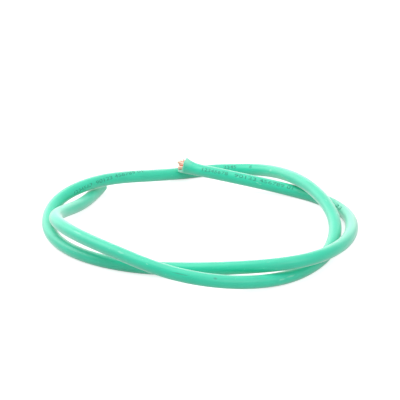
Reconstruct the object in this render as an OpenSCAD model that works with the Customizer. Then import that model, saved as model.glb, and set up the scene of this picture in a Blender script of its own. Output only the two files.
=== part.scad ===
// A loose coil of stranded building wire, lying as it was thrown down: about a
// metre of it goes nearly twice round and weaves over and under itself.
// Seven copper wires, six round one, run inside one extruded PVC wall, and both
// ends are cut bare, pinched wide by the cutters.

/* [Conductor] */
// Diameter of one copper wire
wire_d = 1.55; // [1:0.05:1.8]

/* [Insulation] */
// Wall of the insulation
insulation_wall = 1.5; // [0.8:0.1:1.9]
// Gap between the wires and the bore of the insulation
fit_clearance = 0.05; // [0.02:0.01:0.1]

/* [Coil] */
// Width of the round loop that the turns wander about, over the cable
coil_width = 190; // [170:1:260]
// Depth of the same loop, front to back
coil_depth = 186; // [170:1:260]

/* [Cut ends] */
// Straight run at each end
end_run = 9; // [8.5:0.5:20]
// Length of cable over which the cutters' pinch dies out
pinch_run = 13; // [10:1:16]
// How much wider than the cable the pinch is, at the cut
pinch_spread = 3.5; // [2:0.1:4]
// Share of its thickness that the cable keeps through the pinch
pinch_keep = 0.8; // [0.8:0.01:1]
// How far the widened end stands off to one side
pinch_rise = 1.3; // [0:0.1:1.5]
// How far one edge of the insulation stands out past the other
lip_slant = 6; // [0:0.1:6.5]
// The same for the wires, which the cutters leave squarer
tip_slant = 1.6; // [0:0.1:2]

/* [Hidden] */
outer_wires = 6;
// One outer wire lies straight above the centre wire
outer_phase = 30;
outer_names = [for (k = [1 : outer_wires]) str("outer_wire_", k)];

green = "#48d3aa";
copper = "#e0a184";

conductor_r = 1.5 * wire_d;
bore_r = conductor_r + fit_clearance;
cable_r = bore_r + insulation_wall;
cable_d = 2 * cable_r;
pinched_width = cable_d + pinch_spread;

// The round parts are even-sided tubes whose sections have a circle's area
cable_sides = 12;
wire_sides = 6;
function even_r(r, sides) = r * sqrt(2 * PI / (sides * sin(360 / sides)));

// The route: points at even angles round the loop. Each has how far the cable
// runs inside the round loop, mm, and how high its centre rides, in diameters.
start_angle = 92;
point_step = 24;
inside = [
    20, 30, 10, 1, -1, -5, -6, 13, 23, 20, 8, -1, 0, 13, 17,
    3, -7, 10, 14, 9, 5, 0, -1, 0, 10, 8, 1, 17, 9];
ride = [
    1.4, 1.4, 0.3, 0.4, 1.0, 1.4, 1.8, 1.3, 0.7, 0.4, 0.5, 0.6, 1.4, 1.7, 1.0,
    0.2, 0.5, 1.65, 1.7, 1.1, 0.4, 0.3, 0.8, 1.6, 2.1, 2.2, 2.0, 0.7, 0.4];
last_point = len(inside) - 1;
// A ring of the tube every two diameters, and closer where the cut end is pinched
bend_rings = 64;
rings_per_end = 3;

// The weight of the coil flattens the cable a little where it lies
rest_flat = 0.1 * cable_d;
rest_height = cable_r - rest_flat;

half_width = coil_width / 2 - cable_r;
half_depth = coil_depth / 2 - cable_r;
// A spline draws a round loop in by this share
draw_in = (2 + cos(point_step)) / 3;

function unit(v) = v / norm(v);
function mix(a, b, share) = a + (b - a) * share;
function loop_r(a) = 1 / sqrt(pow(cos(a) / half_width, 2) + pow(sin(a) / half_depth, 2));

control = [
    for (k = [0 : last_point])
        let (a = start_angle - point_step * k, r = loop_r(a) / draw_in - inside[k])
            [r * cos(a), r * sin(a), ride[k] * cable_d]];
guarded = concat(
    [2 * control[0] - control[1]],
    control,
    [2 * control[last_point] - control[last_point - 1]]);

// A cubic spline: one smooth bend after the other, straight at both ends
function spline(u) =
    let (i = min(floor(u), last_point - 1), t = u - i)
        (pow(1 - t, 3) * guarded[i]
        + (3 * pow(t, 3) - 6 * pow(t, 2) + 4) * guarded[i + 1]
        + (-3 * pow(t, 3) + 3 * pow(t, 2) + 3 * t + 1) * guarded[i + 2]
        + pow(t, 3) * guarded[i + 3]) / 6;
function settled(p) = [p.x, p.y, max(p.z, rest_height)];

head_way = unit(control[0] - control[1]);
tail_way = unit(control[last_point] - control[last_point - 1]);
run_steps = [for (k = [1 : rings_per_end]) end_run * k / rings_per_end];
bend_steps = [for (k = [0 : bend_rings]) last_point * k / bend_rings];
thrown = concat(
    [for (k = [rings_per_end - 1 : -1 : 0]) settled(control[0] + run_steps[k] * head_way)],
    [for (u = bend_steps) settled(spline(u))],
    [for (s = run_steps) settled(control[last_point] + s * tail_way)]);
last_ring = len(thrown) - 1;

// The coil stands over the origin, with its box centred there
function middle(values) = (min(values) + max(values)) / 2;
centre = [middle([for (p = thrown) p.x]), middle([for (p = thrown) p.y]), 0];
route = [for (p = thrown) p - centre];

// The frame of each ring: along the cable, to its side, and up
function way(i) = unit(route[min(i + 1, last_ring)] - route[max(i - 1, 0)]);
function side(i) = unit(cross(way(i), [0, 0, 1]));
function up(i) = cross(side(i), way(i));
ways = [for (i = [0 : last_ring]) way(i)];
sides = [for (i = [0 : last_ring]) side(i)];
ups = [for (i = [0 : last_ring]) up(i)];

// Length of cable from the first ring to each ring
steps = [for (i = [1 : last_ring]) norm(route[i] - route[i - 1])];
function running(lengths) = [
    for (i = 0, total = 0; i <= len(lengths); total = total + (i < len(lengths) ? lengths[i] : 0), i = i + 1)
        total];
reach = running(steps);
cable_length = reach[last_ring];

// How strongly the cutters pinched each ring: all of it at the cut, none past the run
function pinch(i) = pow(max(0, 1 - min(reach[i], cable_length - reach[i]) / pinch_run), 2);
// The first end was pinched flat on edge and stands up, and the last one was
// pinched lying down and stands off to the left
function on_edge(i) = i < last_ring / 2;
// The way out of the cut end that the ring is nearest to
function outward(i) = on_edge(i) ? -ways[i] : ways[i];

// A point of ring i from its place in the section before the pinch pressed it
// thin and off to one side, slanted out along the cable
function placed(i, p, slant, shift) =
    let (
        kept = mix(1, pinch_keep, pinch(i)),
        rise = pinch_rise * pinch(i),
        wide_p = on_edge(i) ? p.y : p.x,
        pressed = on_edge(i) ? [p.x * kept, p.y + rise] : [p.x - rise, p.y * kept],
        along = (shift - slant * wide_p / pinched_width) * pinch(i),
        q = route[i] + sides[i] * pressed.x + ups[i] * pressed.y + outward(i) * along)
        [q.x, q.y, max(q.z, 0)];

// Points of one ring of a tube that widens in the pinch
function oval_ring(i, round_r, wide) =
    let (
        across = mix(round_r, wide, pinch(i)),
        half = on_edge(i) ? [round_r, across] : [across, round_r])
        [for (j = [0 : cable_sides - 1])
            let (a = (j + 0.5) * 360 / cable_sides)
                placed(i, [half.x * cos(a), half.y * sin(a)], lip_slant, 0)];

function joined(lists) = [for (l = lists) each l];

// Faces between two rings of n points, and over the end of a plain tube
function skin(rings, n, from, out) = [
    for (i = [0 : rings - 2], j = [0 : n - 1])
        let (
            a = from + i * n + j,
            b = from + i * n + (j + 1) % n,
            c = b + n,
            d = a + n)
            each out ? [[a, b, d], [b, c, d]] : [[a, d, b], [b, d, c]]];
function lid(from, n, first) = [
    for (j = [1 : n - 2]) first ? [from, from + j + 1, from + j] : [from, from + j, from + j + 1]];
function collar(outer, inner, n, first) = [
    for (j = [0 : n - 1])
        let (k = (j + 1) % n)
            each first
                ? [[outer + j, inner + j, outer + k], [inner + j, inner + k, outer + k]]
                : [[outer + j, outer + k, inner + j], [inner + j, outer + k, inner + k]]];

// The insulation: one tube with its bore open at both cut ends
module insulation() {
    rings = last_ring + 1;
    skin_r = even_r(cable_r, cable_sides);
    hollow_r = even_r(bore_r, cable_sides);
    outer = [for (i = [0 : last_ring]) oval_ring(i, skin_r, skin_r + pinch_spread / 2)];
    bore = [for (i = [0 : last_ring]) oval_ring(i, hollow_r, hollow_r + pinch_spread / 2)];
    count = rings * cable_sides;
    last_outer = count - cable_sides;
    color(green)
        polyhedron(
            points = concat(joined(outer), joined(bore)),
            faces = concat(
                skin(rings, cable_sides, 0, true),
                skin(rings, cable_sides, count, false),
                collar(0, count, cable_sides, true),
                collar(last_outer, count + last_outer, cable_sides, false)));
}

// One wire, seated in the bundle at distance r from the centre line and at
// angle a. Its six flats face its neighbours, it fans out in the pinch, and it
// has one more ring past the lip at each end.
module wire(r, a) {
    fan = 1 + pinch_spread / 2 / bore_r;
    flat_r = even_r(wire_d / 2, wire_sides);
    seat = [r * cos(a), r * sin(a)];
    rings = [
        for (m = [-1 : last_ring + 1])
            let (
                i = max(0, min(last_ring, m)),
                widen = mix(1, fan, pinch(i)),
                fanned = on_edge(i) ? [seat.x, seat.y * widen] : [seat.x * widen, seat.y],
                past_lip = m != i,
                slant = past_lip ? tip_slant : lip_slant,
                shift = past_lip ? (lip_slant - tip_slant) / 2 : 0)
                [for (j = [0 : wire_sides - 1])
                    let (b = a + (j + 0.5) * 360 / wire_sides)
                        placed(i, fanned + flat_r * [cos(b), sin(b)], slant, shift)]];
    color(copper)
        polyhedron(
            points = joined(rings),
            faces = concat(
                skin(len(rings), wire_sides, 0, true),
                lid(0, wire_sides, true),
                lid((len(rings) - 1) * wire_sides, wire_sides, false)));
}

module centre_wire() {
    wire(0, outer_phase);
}

module outer_wire(k) {
    wire(wire_d, outer_phase + 360 * k / outer_wires);
}

// Least gap between parts of the cable that lie past one another, measured on
// points along the tube's own centre line
checks_per_ring = 4;
close_by = 5 * cable_d;
line = [
    for (i = [0 : last_ring - 1], m = [0 : checks_per_ring - 1])
        let (share = m / checks_per_ring)
            [mix(route[i], route[i + 1], share), mix(reach[i], reach[i + 1], share)]];
gaps = [
    for (i = [0 : len(line) - 1], j = [i + 1 : len(line) - 1])
        if (line[j][1] - line[i][1] > close_by)
            norm(line[j][0] - line[i][0]) - cable_d];
echo(cable_diameter = cable_d, cable_length = cable_length, least_gap = min(gaps));

insulation();
centre_wire();
for (k = [1 : outer_wires])
    outer_wire(k);
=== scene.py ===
"""A loose coil of stranded building wire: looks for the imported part."""
import math

import bpy
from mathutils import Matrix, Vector


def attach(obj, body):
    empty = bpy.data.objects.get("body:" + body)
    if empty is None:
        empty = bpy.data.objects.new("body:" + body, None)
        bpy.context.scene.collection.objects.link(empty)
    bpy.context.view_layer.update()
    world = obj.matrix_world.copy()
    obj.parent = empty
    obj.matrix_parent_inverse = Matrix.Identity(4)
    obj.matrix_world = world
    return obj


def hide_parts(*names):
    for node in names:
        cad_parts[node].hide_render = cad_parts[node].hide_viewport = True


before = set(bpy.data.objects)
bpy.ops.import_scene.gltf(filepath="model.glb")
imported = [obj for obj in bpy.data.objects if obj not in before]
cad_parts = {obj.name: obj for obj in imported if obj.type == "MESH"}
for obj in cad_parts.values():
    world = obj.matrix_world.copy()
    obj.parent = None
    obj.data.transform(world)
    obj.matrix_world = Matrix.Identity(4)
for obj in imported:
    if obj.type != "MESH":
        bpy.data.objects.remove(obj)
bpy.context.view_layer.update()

bl_info = {
    "name": "Coil of stranded building wire",
    "version": (1, 0, 0),
    "blender": (4, 5, 0),
    "location": "3D View > Sidebar > Wire coil",
    "description": "Builds the insulation, the laid copper wires, the ink print and the stage",
    "category": "Object",
}

MM = 0.001

# ---------------------------------------------------------------------------
# Sizes and colours


def length(name, text, default_mm):
    return bpy.props.FloatProperty(
        name=name, description=text, default=default_mm * MM,
        subtype="DISTANCE", unit="LENGTH", precision=5)


def colour(name, text, default):
    return bpy.props.StringProperty(name=name, description=text, default=default)


class CableSizes(bpy.types.PropertyGroup):
    wire_d: length("Wire", "Diameter of one copper wire", 1.55)
    lay: length("Lay", "Length of cable in which an outer wire goes once round", 72.5)
    wall: length("Wall", "Wall of the insulation", 1.5)
    clearance: length("Clearance", "Gap between the wires and the bore", 0.05)
    coil_width: length("Coil width", "Width of the round loop that the turns wander about", 190)
    coil_depth: length("Coil depth", "Depth of the same loop", 186)
    end_run: length("End run", "Straight run at each end", 9)
    pinch_run: length("Pinch run", "Length of cable over which the cutters' pinch dies out", 13)
    pinch_spread: length("Pinch spread", "How much wider than the cable the pinch is", 3.5)
    pinch_keep: bpy.props.FloatProperty(
        name="Pinch keep",
        description="Share of its thickness that the cable keeps through the pinch",
        default=0.8, min=0.5, max=1, subtype="FACTOR")
    pinch_rise: length("Pinch rise", "How far the widened end stands off to one side", 1.3)
    lip_slant: length("Lip slant", "How far one edge of the insulation stands past the other", 6)
    tips: length("Tips", "How far the wires stand out of the middle of the lip", 2.7)


class PrintSizes(bpy.types.PropertyGroup):
    height: length("Height", "Height of a printed digit", 2.3)
    stroke: length("Stroke", "How much the ink spreads past the digit's outline", 0.02)
    film: length("Film", "Thickness of the ink", 0.02)


class CoilColours(bpy.types.PropertyGroup):
    pvc: colour("Insulation", "Colour of the PVC", "#0ED2A9")
    # Also the painted highlight on the cut ends' upturned tongue and on the tops of the flared ends
    pvc_wear_and_highlight: colour("Rubbed", "Colour of rubbed or freshly cut PVC", "#BDF3E0")
    smudge: colour("Smudge", "Colour of a dirt mark", "#2C9478")
    ink: colour("Ink", "Colour of the print", "#2A8A72")
    copper: colour("Copper", "Colour of the wires", "#FCD4C6")
    copper_dark: colour("Dark copper", "Colour of the wires in the die's lines", "#EC9C84")
    floor: colour("Floor", "Colour that the floor shows", "#FFFFFF")
    floor_matt: colour("Matt floor", "How much of the light on it the floor gives back", "#C0C0C0")


def settings():
    scene = bpy.context.scene
    return scene.cable_sizes, scene.print_sizes, scene.coil_colours


# ---------------------------------------------------------------------------
# The route of the cable, the same as in the part's source

START_ANGLE = 92
POINT_STEP = 24
# How far the cable runs inside the round loop at each route point, in metres
INSIDE = [
    mm * MM for mm in (
        20, 30, 10, 1, -1, -5, -6, 13, 23, 20, 8, -1, 0, 13, 17,
        3, -7, 10, 14, 9, 5, 0, -1, 0, 10, 8, 1, 17, 9)]
# How high its centre rides there, in diameters
RIDE = [
    1.4, 1.4, 0.3, 0.4, 1.0, 1.4, 1.8, 1.3, 0.7, 0.4, 0.5, 0.6, 1.4, 1.7, 1.0,
    0.2, 0.5, 1.65, 1.7, 1.1, 0.4, 0.3, 0.8, 1.6, 2.1, 2.2, 2.0, 0.7, 0.4]
LAST_POINT = len(INSIDE) - 1
# Sections of the bends and of each straight end: those of the part's source, which centre the
# coil over the origin, and the finer ones that are made here
BEND_RINGS = 64
END_RINGS = 3
FINE_BENDS = 560
FINE_END = 14
# Share of its diameter that the cable is flattened by where it lies on the floor
REST_FLAT = 0.1
# How softly it comes down onto the floor
TOUCH_DOWN = 0.6 * MM
OUTER_WIRES = 6
# One outer wire lies straight above the centre wire
OUTER_PHASE = 30


def cable_r(sizes):
    return 1.5 * sizes.wire_d + sizes.clearance + sizes.wall


def control_points(sizes):
    half_width = sizes.coil_width / 2 - cable_r(sizes)
    half_depth = sizes.coil_depth / 2 - cable_r(sizes)
    draw_in = (2 + math.cos(math.radians(POINT_STEP))) / 3
    points = []
    for k, (inside, ride) in enumerate(zip(INSIDE, RIDE)):
        a = math.radians(START_ANGLE - POINT_STEP * k)
        loop_r = 1 / math.hypot(math.cos(a) / half_width, math.sin(a) / half_depth)
        r = loop_r / draw_in - inside
        points.append(Vector((r * math.cos(a), r * math.sin(a), ride * 2 * cable_r(sizes))))
    return points


def spline(control, u):
    guarded = [2 * control[0] - control[1], *control, 2 * control[-1] - control[-2]]
    i = min(int(u), LAST_POINT - 1)
    t = u - i
    return (
        (1 - t) ** 3 * guarded[i]
        + (3 * t ** 3 - 6 * t ** 2 + 4) * guarded[i + 1]
        + (-3 * t ** 3 + 3 * t ** 2 + 3 * t + 1) * guarded[i + 2]
        + t ** 3 * guarded[i + 3]) / 6


def thrown(sizes, bends, ends, touch_down):
    """The cable's centre line as it lies, before it is centred."""
    control = control_points(sizes)
    head_way = (control[0] - control[1]).normalized()
    tail_way = (control[-1] - control[-2]).normalized()
    runs = [sizes.end_run * k / ends for k in range(1, ends + 1)]
    points = [control[0] + head_way * s for s in reversed(runs)]
    points += [spline(control, LAST_POINT * k / bends) for k in range(bends + 1)]
    points += [control[-1] + tail_way * s for s in runs]
    lowest = (1 - 2 * REST_FLAT) * cable_r(sizes)
    for p in points:
        over = p.z - lowest
        p.z = lowest + (over + math.hypot(over, touch_down)) / 2
    return points


def cable_route(sizes):
    coarse = thrown(sizes, BEND_RINGS, END_RINGS, 0)
    middle = Vector((
        (min(p.x for p in coarse) + max(p.x for p in coarse)) / 2,
        (min(p.y for p in coarse) + max(p.y for p in coarse)) / 2,
        0))
    return [p - middle for p in thrown(sizes, FINE_BENDS, FINE_END, TOUCH_DOWN)]


class Cable:
    """The route with its frames, lengths and pinched ends."""

    def __init__(self, sizes):
        self.sizes = sizes
        self.route = cable_route(sizes)
        last = len(self.route) - 1
        self.last = last
        self.way = [
            (self.route[min(i + 1, last)] - self.route[max(i - 1, 0)]).normalized()
            for i in range(last + 1)]
        self.side = [w.cross(Vector((0, 0, 1))).normalized() for w in self.way]
        self.up = [s.cross(w) for s, w in zip(self.side, self.way)]
        self.reach = [0.0]
        for a, b in zip(self.route, self.route[1:]):
            self.reach.append(self.reach[-1] + (b - a).length)
        self.length = self.reach[-1]

    def on_edge(self, i):
        return i < self.last / 2

    def outward(self, i):
        return -self.way[i] if self.on_edge(i) else self.way[i]

    def pinch(self, i):
        near = min(self.reach[i], self.length - self.reach[i])
        return max(0.0, 1 - near / self.sizes.pinch_run) ** 2

    def placed(self, i, x, y, slant=0.0, shift=0.0):
        """A point of section i, x to the inside of the coil and y up, as the pinch leaves it."""
        sizes, share = self.sizes, self.pinch(i)
        kept, rise = mix(1, sizes.pinch_keep, share), sizes.pinch_rise * share
        wide = y if self.on_edge(i) else x
        if self.on_edge(i):
            x, y = x * kept, y + rise
        else:
            x, y = x - rise, y * kept
        along = (shift - slant * wide / (2 * cable_r(sizes) + sizes.pinch_spread)) * share
        p = self.route[i] + self.side[i] * x + self.up[i] * y + self.outward(i) * along
        return Vector((p.x, p.y, max(p.z, 0)))

    def at(self, distance):
        """The nearest section before a distance along the cable, and the share to the next."""
        low, high = 0, self.last - 1
        while low < high:
            mid = (low + high + 1) // 2
            low, high = (mid, high) if self.reach[mid] <= distance else (low, mid - 1)
        return low, (distance - self.reach[low]) / (self.reach[low + 1] - self.reach[low])


def mix(a, b, share):
    return a + (b - a) * share


# ---------------------------------------------------------------------------
# Meshes

# Edges sharper than this stay sharp, in degrees
SHARP_ANGLE = 50


def mesh_piece(name, points, faces, unrolled):
    """A new piece at the origin; unrolled holds each point's place on the straight cable."""
    mesh = bpy.data.meshes.new(name)
    mesh.from_pydata([tuple(p) for p in points], [], faces)
    place = mesh.attributes.new("straight", "FLOAT_VECTOR", "POINT")
    place.data.foreach_set("vector", [value for p in unrolled for value in p])
    piece = bpy.data.objects.new(name, mesh)
    bpy.context.scene.collection.objects.link(piece)
    bpy.ops.object.select_all(action="DESELECT")
    piece.select_set(True)
    bpy.context.view_layer.objects.active = piece
    bpy.ops.object.shade_smooth_by_angle(angle=math.radians(SHARP_ANGLE))
    return piece


def tube_faces(rings, n, start, flip):
    faces = []
    for i in range(rings - 1):
        for j in range(n):
            a, b = start + i * n + j, start + i * n + (j + 1) % n
            quad = (a, a + n, b + n, b)
            faces.append(quad[::-1] if flip else quad)
    return faces


SKIN_SIDES = 40
# The cut lip from its lower edge to its upper one, as height share and reach out of the end:
# a tongue at the bottom, a fairly square middle and a corner that is torn back
LIP_EDGE = (
    (-1.0, 3.0 * MM), (-0.88, 1.2 * MM), (-0.75, -0.4 * MM), (-0.46, -0.8 * MM), (-0.18, -1.2 * MM),
    (0.09, -2.2 * MM), (0.36, -1.6 * MM), (0.63, -2.4 * MM), (0.9, -2.6 * MM), (1.0, -3.0 * MM))
# The lower end's lip is less torn
LOWER_LIP = 0.6
# Small waves where it was pressed against the wires
LIP_WAVES = 9
LIP_WAVE = 0.3 * MM
# How far the lip is rounded off at the cut and one section further in
LIP_ROUND = (0.35 * MM, 0.08 * MM)


def lip_edge(height):
    """How far the lip reaches out at a height share between -1 and 1."""
    for (low, reach_low), (high, reach_high) in zip(LIP_EDGE, LIP_EDGE[1:]):
        if height <= high:
            share = (height - low) / (high - low)
            return mix(reach_low, reach_high, share * share * (3 - 2 * share))
    return LIP_EDGE[-1][1]


def insulation_rings(cable, bore):
    """Sections of the outer skin or of the bore, and each point's place on the straight cable."""
    sizes = cable.sizes
    round_r = cable_r(sizes) - (sizes.wall if bore else 0)
    points, unrolled = [], []
    for i in range(cable.last + 1):
        share = cable.pinch(i)
        from_end = min(i, cable.last - i)
        rounding = 0 if bore or from_end > 1 else LIP_ROUND[from_end]
        through = round_r - rounding
        across = through + sizes.pinch_spread / 2 * share
        for j in range(SKIN_SIDES):
            a = 2 * math.pi * j / SKIN_SIDES
            x, y = (through, across) if cable.on_edge(i) else (across, through)
            height = math.sin(a) if cable.on_edge(i) else math.cos(a)
            lip = lip_edge(height) * (1 if cable.on_edge(i) else LOWER_LIP)
            lip += LIP_WAVE * math.cos(LIP_WAVES * a) * share ** 4
            points.append(cable.placed(i, x * math.cos(a), y * math.sin(a), 0, lip))
            unrolled.append((round_r * math.cos(a), round_r * math.sin(a), cable.reach[i]))
    return points, unrolled


def build_insulation(cable):
    outer, outer_flat = insulation_rings(cable, False)
    bore, bore_flat = insulation_rings(cable, True)
    rings, n, count = cable.last + 1, SKIN_SIDES, len(outer)
    faces = tube_faces(rings, n, 0, False) + tube_faces(rings, n, count, True)
    last = count - n
    for j in range(n):
        k = (j + 1) % n
        faces.append((j, k, count + k, count + j))
        faces.append((last + k, last + j, count + last + j, count + last + k))
    piece = mesh_piece("cable_insulation", outer + bore, faces, outer_flat + bore_flat)
    lay_out_strips(piece, cable)
    return piece


# The insulation's map: the skin in this many even lengths of cable above each other, and a last
# row with the bore below and the two lips on lines above it
MAP_STRIPS = 6
# The rest in shares of the map's width and of a row's height: the margins, the bore's strip and
# the lines of a lip's outer and inner edge
MAP_MARGIN = 0.005
ROW_MARGIN = 0.04
LIP_MARGIN = 0.02
BORE_STRIP = 0.4
LIP_LINES = (0.6, 0.9)


def lay_out_strips(piece, cable):
    """A map on which the long skin lies in strips, each as wide as the cable is round."""
    mesh, n = piece.data, SKIN_SIDES
    per_strip = math.ceil(cable.last / MAP_STRIPS)
    skin_faces, skin_points = cable.last * n, (cable.last + 1) * n
    layer = mesh.uv_layers.new(name="OFBake")
    for polygon in mesh.polygons:
        index = polygon.index
        if index < 2 * skin_faces:
            ring, j = divmod(index % skin_faces, n)
        else:
            j, lower_end = divmod(index - 2 * skin_faces, 2)
        for corner in polygon.loop_indices:
            vertex = mesh.loops[corner].vertex_index
            at_ring, at_side = divmod(vertex % skin_points, n)
            turn = (j + (at_side != j)) / n
            if index < skin_faces:
                strip = ring // per_strip
                u = (at_ring - strip * per_strip) / per_strip
                v = strip + mix(ROW_MARGIN, 1 - ROW_MARGIN, turn)
            elif index < 2 * skin_faces:
                u = at_ring / cable.last
                v = MAP_STRIPS + ROW_MARGIN + BORE_STRIP * turn
            else:
                u = mix(LIP_MARGIN, 0.5 - LIP_MARGIN, turn) + lower_end / 2
                v = MAP_STRIPS + LIP_LINES[vertex >= skin_points]
            layer.data[corner].uv = (mix(MAP_MARGIN, 1 - MAP_MARGIN, u), v / (MAP_STRIPS + 1))


WIRE_SIDES = 14
# How much further than the rest each wire stands out of the upper and the lower lip:
# the centre wire first, and then the outer ones from the top down the coil's outside
TIP_STEPS = (
    (0.1, -3.1, 0.0, 0.1, 0.3, 0.0, 0.3),
    (-0.2, 0.3, -0.8, 0.2, 0.0, 0.4, -0.3))
# Share of the way out of the lip, of the wires' fan there, and of a wire's size
TIP_RINGS = ((0.35, 0.1, 1.03), (0.75, 0.22, 1.12), (0.93, 0.27, 1.1), (1.0, 0.28, 0.85))


def build_wire(cable, name, number):
    """One drawn wire of the seven, turning with the lay and fanned out in the pinch."""
    sizes = cable.sizes
    turns = round(cable.length / sizes.lay)
    seat_r = sizes.wire_d if number else 0
    phase = math.radians(OUTER_PHASE + 360 / OUTER_WIRES * number)
    fan = 1 + sizes.pinch_spread / 2 / (cable_r(sizes) - sizes.wall)
    stops = [(0, t, f, d) for t, f, d in reversed(TIP_RINGS)]
    stops += [(i, 0.0, 0.0, 1.0) for i in range(cable.last + 1)]
    stops += [(cable.last, t, f, d) for t, f, d in TIP_RINGS]
    points, unrolled = [], []
    for i, out, spread, size in stops:
        turn = 2 * math.pi * turns * cable.reach[i] / cable.length + phase
        widen = mix(1, fan, cable.pinch(i)) * (1 + spread)
        seat_x, seat_y = seat_r * math.cos(turn), seat_r * math.sin(turn)
        if cable.on_edge(i):
            seat_y *= widen
        else:
            seat_x *= widen
        wide = seat_y if cable.on_edge(i) else seat_x
        step = TIP_STEPS[0 if cable.on_edge(i) else 1][number] * MM
        slant = sizes.lip_slant * (1 - out)
        shift = (sizes.tips + step) * out
        for j in range(WIRE_SIDES):
            a = 2 * math.pi * j / WIRE_SIDES + turn
            x = seat_x + sizes.wire_d / 2 * size * math.cos(a)
            y = seat_y + sizes.wire_d / 2 * size * math.sin(a)
            points.append(cable.placed(i, x, y, slant, shift))
            unrolled.append((x, y, cable.reach[i] + (out * sizes.tips if i else -out * sizes.tips)))
    rings, n = len(stops), WIRE_SIDES
    faces = tube_faces(rings, n, 0, False)
    faces.append(tuple(range(n)))
    faces.append(tuple(reversed(range((rings - 1) * n, rings * n))))
    return mesh_piece(name, points, faces, unrolled)


# ---------------------------------------------------------------------------
# The print: plain counting digits

# Digits, distance from the upper end to their start and end, and the angle round the cable that
# they start and end at, in degrees up from the inside of the coil
PRINTED = (
    ("12345678", 16 * MM, 33 * MM, 38, 46),
    ("90123 456789 01", 37 * MM, 76 * MM, 48, 50),
    ("23", 117 * MM, 126 * MM, 50, 50),
    ("1234567", 445 * MM, 461 * MM, 4, 14),
    ("90123 456789 01", 464 * MM, 500 * MM, 18, 76),
    ("2345", 559 * MM, 568 * MM, 48, 50),
    ("6", 578 * MM, 580 * MM, 50, 50),
)
# Bands that a digit is cut into, so that it follows the round skin
BANDS = 6
# Height of the font's digits at size 1
FONT_HEIGHT = 0.7


def build_print(cable, ink):
    lines = [print_line(cable, ink, *line) for line in PRINTED]
    bpy.ops.object.select_all(action="DESELECT")
    for line in lines:
        line.select_set(True)
    bpy.context.view_layer.objects.active = lines[0]
    bpy.ops.object.join()
    piece = bpy.context.object
    piece.name = "print_digits"
    # Half of the film lies in the skin, so that no gap shows under it
    film = piece.modifiers.new("film", "SOLIDIFY")
    film.thickness = 2 * ink.film
    film.offset = -1
    bpy.ops.object.modifier_apply(modifier=film.name)
    return piece


def print_line(cable, ink, digits, start, end, lean_start, lean_end):
    """One line of digits, laid flat, cut into bands and wrapped on the skin."""
    bpy.ops.object.select_all(action="DESELECT")
    bpy.ops.object.text_add(location=(0, 0, 0))
    line = bpy.context.object
    line.data.body = digits
    line.data.size = 1
    line.data.resolution_u = 3
    line.data.offset = ink.stroke / ink.height * FONT_HEIGHT
    bpy.ops.object.convert(target="MESH")
    line = bpy.context.object
    low = min(v.co.y for v in line.data.vertices)
    high = max(v.co.y for v in line.data.vertices)
    left = min(v.co.x for v in line.data.vertices)
    right = max(v.co.x for v in line.data.vertices)
    bpy.ops.object.mode_set(mode="EDIT")
    for k in range(1, BANDS):
        bpy.ops.mesh.select_all(action="SELECT")
        bpy.ops.mesh.bisect(plane_co=(0, mix(low, high, k / BANDS), 0), plane_no=(0, 1, 0))
    bpy.ops.object.mode_set(mode="OBJECT")
    r = cable_r(cable.sizes) + ink.film
    for vertex in line.data.vertices:
        share = (vertex.co.x - left) / (right - left)
        lift = ((vertex.co.y - low) / (high - low) - 0.5) * ink.height
        a = math.radians(mix(lean_start, lean_end, share)) + lift / r
        i, part = cable.at(mix(start, end, share))
        here = cable.placed(i, r * math.cos(a), r * math.sin(a))
        there = cable.placed(i + 1, r * math.cos(a), r * math.sin(a))
        vertex.co = here.lerp(there, part)
    return line


# ---------------------------------------------------------------------------
# Materials


def linear(hex_colour):
    """Linear RGBA from an sRGB hex colour."""
    parts = [int(hex_colour[i:i + 2], 16) / 255 for i in (1, 3, 5)]
    return (*(c / 12.92 if c <= 0.04045 else ((c + 0.055) / 1.055) ** 2.4 for c in parts), 1.0)


def new_material(name):
    material = bpy.data.materials.new(name)
    material.use_nodes = True
    material.node_tree.nodes.clear()
    return material, material.node_tree


def add_node(tree, kind, inputs=(), **settings):
    """A node with its settings, and with a value or another node's output at each named input."""
    node = tree.nodes.new(kind)
    for key, value in settings.items():
        setattr(node, key, value)
    for key, value in dict(inputs).items():
        if isinstance(value, bpy.types.NodeSocket):
            tree.links.new(value, node.inputs[key])
        else:
            node.inputs[key].default_value = value
    return node


# Patterns of the insulation's skin: the size of a cell across, up and along the cable in mm, and
# the noise's detail
SKIN_PATTERNS = {
    "waves": ((11, 11, 12.5), 3.0),
    "die lines": ((0.6, 0.6, 100), 2.0),
    "grain": ((0.5, 0.5, 0.5), 2.0),
    "rubs": ((1.4, 1.4, 6.2), 5.0),
    "specks": ((0.7, 0.7, 0.7), 1.0),
    "ragged": ((0.7, 0.7, 2), 3.0),
}
# The most rubbed spots of a pattern show pale: where on it they begin and are full, and how pale
PALE_SPOTS = (("rubs", 0.69, 0.79, 0.5), ("specks", 0.77, 0.82, 0.6))
# The cutters bruise the last 2 mm at both ends, the lower side most, and stretch the upper side of
# the last 8 mm. Both are partly painted highlight: the lower side's pale is light on the tongue
# that faces up, and the upper side's pale is light on the flare's top. For each: where it begins
# and is full in mm from the end, how pale it is, and two heights in mm from the cable's middle with
# its share there
CUT_WEAR_AND_PAINTED_HIGHLIGHTS = (
    ((2, 0.5, 0.85), (-2.8, -1.4), (1.0, 0.35)),
    ((8, 1, 0.6), (0.5, 3.5), (0.0, 1.0)))
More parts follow.
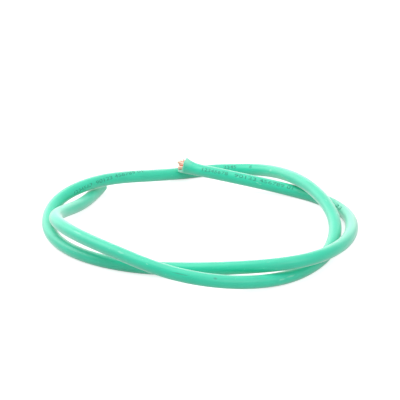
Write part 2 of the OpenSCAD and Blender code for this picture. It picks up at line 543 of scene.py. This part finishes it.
# Marks at a place: the middle of each on the straight cable, x to the inside of the coil, y up
# and z from the upper end, and its half width, half height and half length, all in mm
SMUDGES = (
    ((-3.2, 2.2, 827), (0.4, 0.4, 6)),
    ((-2.7, 2.7, 808), (0.7, 0.7, 1.5)))
SMUDGE_SHOWS = 0.65
SCUFFS = (
    ((-2.3, 3.1, 900), (0.7, 0.7, 4)),
    ((-2.7, 2.7, 865), (0.7, 0.7, 2.5)),
    ((3.4, 1.8, 598), (0.8, 0.8, 1.7)),
    ((-3.4, 1.8, 763), (0.6, 0.6, 3.3)),
    ((-3.6, 1.2, 769), (0.6, 0.6, 2.5)))
SCUFF_SHOWS = 0.24
# How far out such a mark starts to fade and is gone, in half sizes plus its ragged edge
SPOT_EDGE = (1.0, 1.5)
# Relief of the skin: a pattern, how strongly it shows, and its depth in mm
SKIN_RELIEF = (("waves", 0.3, 0.3), ("die lines", 0.25, 0.03), ("grain", 0.25, 0.02))
# The waves tint the skin and the grain sets its roughness, over the values that a noise has most
NOISE_SPAN = (0.3, 0.7)
PVC_TINT = (0.95, 1.04)
PVC_ROUGHNESS = (0.38, 0.46)
# How much rougher the skin is where it is this pale
PALE_AT_FULL_ROUGHNESS = 0.6
PALE_ROUGHER = 0.15


def in_metres(values_mm):
    return [value * MM for value in values_mm]


def skin_patterns(tree, straight):
    """Each of the skin's patterns as a value from 0 to 1, laid along the straight cable."""
    values = {}
    for name, (cell, detail) in SKIN_PATTERNS.items():
        place = add_node(
            tree, "ShaderNodeVectorMath", {0: straight, 1: in_metres(cell)}, operation="DIVIDE")
        field = add_node(tree, "ShaderNodeTexNoise", {
            "Vector": place.outputs["Vector"], "Scale": 1.0, "Detail": detail})
        values[name] = field.outputs["Fac"]
    return values


def spots(tree, straight, ragged, places, strength, under):
    """The strongest of the ragged spots at these places and of what is there already."""
    for middle, half_size in places:
        offset = add_node(
            tree, "ShaderNodeVectorMath", {0: straight, 1: in_metres(middle)},
            operation="SUBTRACT").outputs["Vector"]
        offset = add_node(
            tree, "ShaderNodeVectorMath", {0: offset, 1: in_metres(half_size)},
            operation="DIVIDE").outputs["Vector"]
        away = add_node(
            tree, "ShaderNodeVectorMath", {0: offset}, operation="LENGTH").outputs["Value"]
        away = add_node(tree, "ShaderNodeMath", {0: away, 1: ragged}, operation="ADD").outputs[0]
        spot = add_node(tree, "ShaderNodeMapRange", {
            "Value": away, "From Min": SPOT_EDGE[0], "From Max": SPOT_EDGE[1],
            "To Min": strength, "To Max": 0.0}).outputs["Result"]
        under = add_node(
            tree, "ShaderNodeMath", {0: spot, 1: under}, operation="MAXIMUM").outputs[0]
    return under


def pale_wear_and_painted_highlights(tree, straight, skin, cable_length):
    """How pale the skin is rubbed, scuffed, bruised or stretched, from 0 to 1; at the cut ends this
    pale is partly a painted highlight.
    """
    marks = []
    for pattern, begins, full, strength in PALE_SPOTS:
        marks.append(add_node(tree, "ShaderNodeMapRange", {
            "Value": skin[pattern], "From Min": begins, "From Max": full,
            "To Min": 0.0, "To Max": strength}).outputs["Result"])

    parts = add_node(tree, "ShaderNodeSeparateXYZ", {"Vector": straight}).outputs
    middle = cable_length / 2
    from_middle = add_node(
        tree, "ShaderNodeMath", {0: parts["Z"], 1: middle}, operation="SUBTRACT").outputs[0]
    from_middle = add_node(
        tree, "ShaderNodeMath", {0: from_middle}, operation="ABSOLUTE").outputs[0]
    # Pale at the cut ends: partly painted highlight on the upturned tongue and on the flares' tops
    for (begins, full, strength), (low, high), (at_low, at_high) in CUT_WEAR_AND_PAINTED_HIGHLIGHTS:
        along = add_node(tree, "ShaderNodeMapRange", {
            "Value": from_middle, "From Min": middle - begins * MM, "From Max": middle - full * MM,
            "To Min": 0.0, "To Max": strength}).outputs["Result"]
        height = add_node(tree, "ShaderNodeMapRange", {
            "Value": parts["Y"], "From Min": low * MM, "From Max": high * MM,
            "To Min": at_low, "To Max": at_high}).outputs["Result"]
        marks.append(add_node(
            tree, "ShaderNodeMath", {0: along, 1: height}, operation="MULTIPLY").outputs[0])

    pale = 0.0
    for mark in marks:
        pale = add_node(
            tree, "ShaderNodeMath", {0: mark, 1: pale}, operation="MAXIMUM").outputs[0]
    return spots(tree, straight, skin["ragged"], SCUFFS, SCUFF_SHOWS, pale)


def extruded_pvc(colours, cable_length):
    """Extruded flexible PVC: satin and even in colour, with faint lines along it from the die,
    a fine grain, pale rub marks, two dirt marks, and a paler cut end that is partly a painted
    highlight on the upturned tongue and on the flares' tops."""
    material, tree = new_material("extruded_pvc")
    straight = add_node(tree, "ShaderNodeAttribute", attribute_name="straight").outputs["Vector"]
    skin = skin_patterns(tree, straight)
    pale = pale_wear_and_painted_highlights(tree, straight, skin, cable_length)
    dirt = spots(tree, straight, skin["ragged"], SMUDGES, SMUDGE_SHOWS, 0.0)

    tint = add_node(tree, "ShaderNodeMapRange", {
        "Value": skin["waves"], "From Min": NOISE_SPAN[0], "From Max": NOISE_SPAN[1],
        "To Min": PVC_TINT[0], "To Max": PVC_TINT[1]}).outputs["Result"]
    base = add_node(
        tree, "ShaderNodeMix", {"Factor": 1.0, 6: linear(colours.pvc), 7: tint},
        data_type="RGBA", blend_type="MULTIPLY").outputs[2]
    # The pale mix paints wear, and at the cut ends also a painted highlight on the upturned tongue
    # and the flares' tops
    for share, shade in ((pale, colours.pvc_wear_and_highlight), (dirt, colours.smudge)):
        base = add_node(
            tree, "ShaderNodeMix", {"Factor": share, 6: base, 7: linear(shade)},
            data_type="RGBA").outputs[2]

    # Satin where the die left it, and rougher where it is pale, which also takes in the painted
    # highlights at the cut ends
    satin = add_node(tree, "ShaderNodeMapRange", {
        "Value": skin["grain"], "From Min": NOISE_SPAN[0], "From Max": NOISE_SPAN[1],
        "To Min": PVC_ROUGHNESS[0], "To Max": PVC_ROUGHNESS[1]}).outputs["Result"]
    rougher = add_node(tree, "ShaderNodeMapRange", {
        "Value": pale, "From Min": 0.0, "From Max": PALE_AT_FULL_ROUGHNESS,
        "To Min": 0.0, "To Max": PALE_ROUGHER}).outputs["Result"]
    rough = add_node(
        tree, "ShaderNodeMath", {0: satin, 1: rougher}, operation="ADD").outputs[0]
    relief = {}
    for pattern, strength, depth in SKIN_RELIEF:
        bump = add_node(tree, "ShaderNodeBump", {
            "Height": skin[pattern], "Strength": strength, "Distance": depth * MM, **relief})
        relief = {"Normal": bump.outputs["Normal"]}
    shader = add_node(tree, "ShaderNodeBsdfPrincipled", {
        "Base Color": base, "Roughness": rough, "IOR": 1.53, "Specular IOR Level": 0.7,
        "Sheen Weight": 1.0, "Sheen Roughness": 0.4, **relief})
    add_node(tree, "ShaderNodeOutputMaterial", {"Surface": shader.outputs["BSDF"]})
    return material


# Lines that the die draws on a wire: how far apart and how long, in mm
WIRE_LINES = (0.15, 0.15, 8)
WIRE_LINE_DEPTH = 0.02
WIRE_ROUGHNESS = (0.3, 0.48)


def drawn_copper(colours):
    """Bright drawn copper: pink metal with fine lines along each wire from the die."""
    material, tree = new_material("drawn_copper")
    straight = add_node(tree, "ShaderNodeAttribute", attribute_name="straight").outputs["Vector"]
    place = add_node(
        tree, "ShaderNodeVectorMath", {0: straight, 1: in_metres(WIRE_LINES)}, operation="DIVIDE")
    lines = add_node(tree, "ShaderNodeTexNoise", {
        "Vector": place.outputs["Vector"], "Scale": 1.0, "Detail": 3.0}).outputs["Fac"]
    tone = add_node(tree, "ShaderNodeMix", {
        "Factor": lines, 6: linear(colours.copper_dark), 7: linear(colours.copper)},
        data_type="RGBA").outputs[2]
    rough = add_node(tree, "ShaderNodeMapRange", {
        "Value": lines, "To Min": WIRE_ROUGHNESS[0], "To Max": WIRE_ROUGHNESS[1]})
    bump = add_node(tree, "ShaderNodeBump", {
        "Height": lines, "Strength": 0.3, "Distance": WIRE_LINE_DEPTH * MM})
    shader = add_node(tree, "ShaderNodeBsdfPrincipled", {
        "Base Color": tone, "Roughness": rough.outputs["Result"],
        "Normal": bump.outputs["Normal"], "Metallic": 1.0})
    add_node(tree, "ShaderNodeOutputMaterial", {"Surface": shader.outputs["BSDF"]})
    return material


# Size of the spots in which the ink is thin, in mm; where on the pattern they begin and are full,
# and how much of the PVC shows through them
INK_SPOT = 0.8
INK_THINS = (0.45, 0.7)
INK_THINNEST = 0.8


def jet_ink(colours):
    """Ink-jet marking ink: matt, and thin enough in spots to let the PVC show."""
    material, tree = new_material("jet_printed_ink")
    place = add_node(tree, "ShaderNodeTexCoord").outputs["Object"]
    field = add_node(tree, "ShaderNodeTexNoise", {
        "Vector": place, "Scale": 1 / (INK_SPOT * MM), "Detail": 2.0}).outputs["Fac"]
    thin = add_node(tree, "ShaderNodeMapRange", {
        "Value": field, "From Min": INK_THINS[0], "From Max": INK_THINS[1],
        "To Min": 0.0, "To Max": INK_THINNEST}).outputs["Result"]
    tone = add_node(tree, "ShaderNodeMix", {
        "Factor": thin, 6: linear(colours.ink), 7: linear(colours.pvc)},
        data_type="RGBA").outputs[2]
    shader = add_node(tree, "ShaderNodeBsdfPrincipled", {"Base Color": tone, "Roughness": 0.5})
    add_node(tree, "ShaderNodeOutputMaterial", {"Surface": shader.outputs["BSDF"]})
    return material


def shown_rays(tree):
    """1 for a ray that shows a thing to the eye, straight, in gloss or through glass."""
    rays = add_node(tree, "ShaderNodeLightPath").outputs
    shown = rays["Is Camera Ray"]
    for kind in ("Is Glossy Ray", "Is Transmission Ray"):
        shown = add_node(
            tree, "ShaderNodeMath", {0: shown, 1: rays[kind]}, operation="MAXIMUM").outputs[0]
    return shown


# How much the floor shows over what the lamps give it, so that it shows white
FLOOR_GLOW = 0.76


def matt_white_sweep(colours):
    """A matt white sweep that shows white and keeps a soft shadow."""
    material, tree = new_material("matt_white_sweep")
    matt = add_node(
        tree, "ShaderNodeBsdfDiffuse", {"Color": linear(colours.floor_matt)}).outputs["BSDF"]
    dark = add_node(tree, "ShaderNodeEmission", {"Strength": 0.0}).outputs["Emission"]
    glow = add_node(tree, "ShaderNodeEmission", {
        "Color": linear(colours.floor), "Strength": FLOOR_GLOW}).outputs["Emission"]
    lift = add_node(
        tree, "ShaderNodeMixShader", {0: shown_rays(tree), 1: dark, 2: glow}).outputs["Shader"]
    both = add_node(tree, "ShaderNodeAddShader", {0: matt, 1: lift}).outputs["Shader"]
    add_node(tree, "ShaderNodeOutputMaterial", {"Surface": both})
    return material


def give(piece, material):
    piece.data.materials.clear()
    piece.data.materials.append(material)


# ---------------------------------------------------------------------------
# Operators

CAMERA_PLACE = (0.4 * MM, -1003.3 * MM, 445.8 * MM)
# How far it looks down, in degrees, and its lens and sensor in mm
CAMERA_DOWN = 23.0
CAMERA_LENS = 162.5
CAMERA_SENSOR = 36
CAMERA_NEAR = 50 * MM
WIRE_NAMES = ["conductor_centre"] + [f"conductor_outer_{k}" for k in range(1, OUTER_WIRES + 1)]
WIRE_NODES = ["centre_wire"] + [f"outer_wire_{k}" for k in range(1, OUTER_WIRES + 1)]


class COIL_OT_camera(bpy.types.Operator):
    """Set the camera where the coil is looked at from"""
    bl_idname = "coil.camera"
    bl_label = "Camera"

    def execute(self, context):
        bpy.ops.object.camera_add(
            location=CAMERA_PLACE, rotation=(math.radians(90 - CAMERA_DOWN), 0, 0))
        camera = context.object
        camera.data.sensor_width = CAMERA_SENSOR
        camera.data.lens = CAMERA_LENS
        camera.data.clip_start = CAMERA_NEAR
        context.scene.camera = camera
        return {"FINISHED"}


class COIL_OT_insulation(bpy.types.Operator):
    """Make the PVC insulation along its route"""
    bl_idname = "coil.insulation"
    bl_label = "Insulation"

    def execute(self, context):
        sizes, _, colours = settings()
        cable = Cable(sizes)
        insulation = build_insulation(cable)
        give(insulation, extruded_pvc(colours, cable.length))
        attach(insulation, "root")
        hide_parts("insulation")
        return {"FINISHED"}


class COIL_OT_wires(bpy.types.Operator):
    """Make the seven copper wires inside the insulation"""
    bl_idname = "coil.wires"
    bl_label = "Wires"

    def execute(self, context):
        sizes, _, colours = settings()
        cable = Cable(sizes)
        copper = drawn_copper(colours)
        for number, (name, node) in enumerate(zip(WIRE_NAMES, WIRE_NODES)):
            wire = build_wire(cable, name, number)
            give(wire, copper)
            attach(wire, "root")
            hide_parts(node)
        return {"FINISHED"}


class COIL_OT_print(bpy.types.Operator):
    """Print plain digits along the insulation"""
    bl_idname = "coil.print"
    bl_label = "Print"

    def execute(self, context):
        sizes, ink, colours = settings()
        digits = build_print(Cable(sizes), ink)
        give(digits, jet_ink(colours))
        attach(digits, "root")
        return {"FINISHED"}


class COIL_OT_declare(bpy.types.Operator):
    """Work out the cable's route and nothing more"""
    bl_idname = "coil.declare"
    bl_label = "Declare the cord"

    def execute(self, context):
        sizes, _, _ = settings()
        cable = Cable(sizes)
        return {"FINISHED"}


FLOOR_SIZE = 8
# The floor is this much lower than the cable, so that the two don't fight
FLOOR_DROP = 0.05 * MM
WORLD_FILL = 0.40
# Name, place, aim, width, height and power in watts of each lamp
LAMPS = (
    ("overhead_softbox", (0, 0, 0.8), (0, 0, 0), 0.8, 0.7, 2.8),
    ("front_fill", (0.8, -1.1, 0.9), (0, 0, 0), 1.4, 0.8, 7.8),
    ("back_softbox", (-0.4, 1.35, 0.45), (0, 0, 0.02), 3.2, 0.9, 16.5),
    ("left_softbox", (-0.75, 0.15, 0.7), (-0.05, 0, 0.02), 0.7, 0.7, 4.6),
)


class COIL_OT_stage(bpy.types.Operator):
    """Lay the floor and set the lamps and the world"""
    bl_idname = "coil.stage"
    bl_label = "Stage"

    def execute(self, context):
        _, _, colours = settings()
        bpy.ops.mesh.primitive_plane_add(size=FLOOR_SIZE, location=(0, 0, -FLOOR_DROP))
        floor = context.object
        floor.name = "floor_sweep"
        give(floor, matt_white_sweep(colours))
        for lamp in LAMPS:
            add_lamp(*lamp)
        set_world()
        context.scene.view_settings.view_transform = "Standard"
        return {"FINISHED"}


def add_lamp(name, place, aim, width, height, power):
    turn = (Vector(aim) - Vector(place)).to_track_quat("-Z", "Y").to_euler()
    bpy.ops.object.light_add(type="AREA", location=place, rotation=turn)
    lamp = bpy.context.object
    lamp.name = name
    lamp.visible_camera = False
    lamp.data.shape = "RECTANGLE"
    lamp.data.size = width
    lamp.data.size_y = height
    lamp.data.energy = power


def set_world():
    """White to the eye, in gloss and through glass, and a soft fill for everything else."""
    world = bpy.data.worlds.new("studio_world")
    bpy.context.scene.world = world
    world.use_nodes = True
    tree = world.node_tree
    tree.nodes.clear()
    white = (1, 1, 1, 1)
    fill = add_node(tree, "ShaderNodeBackground", {"Color": white, "Strength": WORLD_FILL})
    shown = add_node(tree, "ShaderNodeBackground", {"Color": white, "Strength": 1.0})
    both = add_node(tree, "ShaderNodeMixShader", {
        0: shown_rays(tree), 1: fill.outputs["Background"], 2: shown.outputs["Background"]})
    add_node(tree, "ShaderNodeOutputWorld", {"Surface": both.outputs["Shader"]})


class COIL_PT_panel(bpy.types.Panel):
    """The coil's steps and sizes"""
    bl_label = "Wire coil"
    bl_idname = "COIL_PT_panel"
    bl_space_type = "VIEW_3D"
    bl_region_type = "UI"
    bl_category = "Wire coil"

    def draw(self, context):
        for step in STEPS:
            self.layout.operator(step.bl_idname)
        for group in settings():
            for name in type(group).__annotations__:
                self.layout.prop(group, name)


GROUPS = (CableSizes, PrintSizes, CoilColours)
STEPS = (
    COIL_OT_camera, COIL_OT_insulation, COIL_OT_wires, COIL_OT_print, COIL_OT_declare,
    COIL_OT_stage)


def register():
    for cls in (*GROUPS, *STEPS, COIL_PT_panel):
        bpy.utils.register_class(cls)
    bpy.types.Scene.cable_sizes = bpy.props.PointerProperty(type=CableSizes)
    bpy.types.Scene.print_sizes = bpy.props.PointerProperty(type=PrintSizes)
    bpy.types.Scene.coil_colours = bpy.props.PointerProperty(type=CoilColours)


def unregister():
    del bpy.types.Scene.coil_colours
    del bpy.types.Scene.print_sizes
    del bpy.types.Scene.cable_sizes
    for cls in reversed((*GROUPS, *STEPS, COIL_PT_panel)):
        bpy.utils.unregister_class(cls)


def main():
    register()
    bpy.ops.coil.camera()
    bpy.ops.coil.insulation()
    bpy.ops.coil.wires()
    bpy.ops.coil.print()
    bpy.ops.coil.declare()
    bpy.ops.coil.stage()


if __name__ == "__main__":
    main()
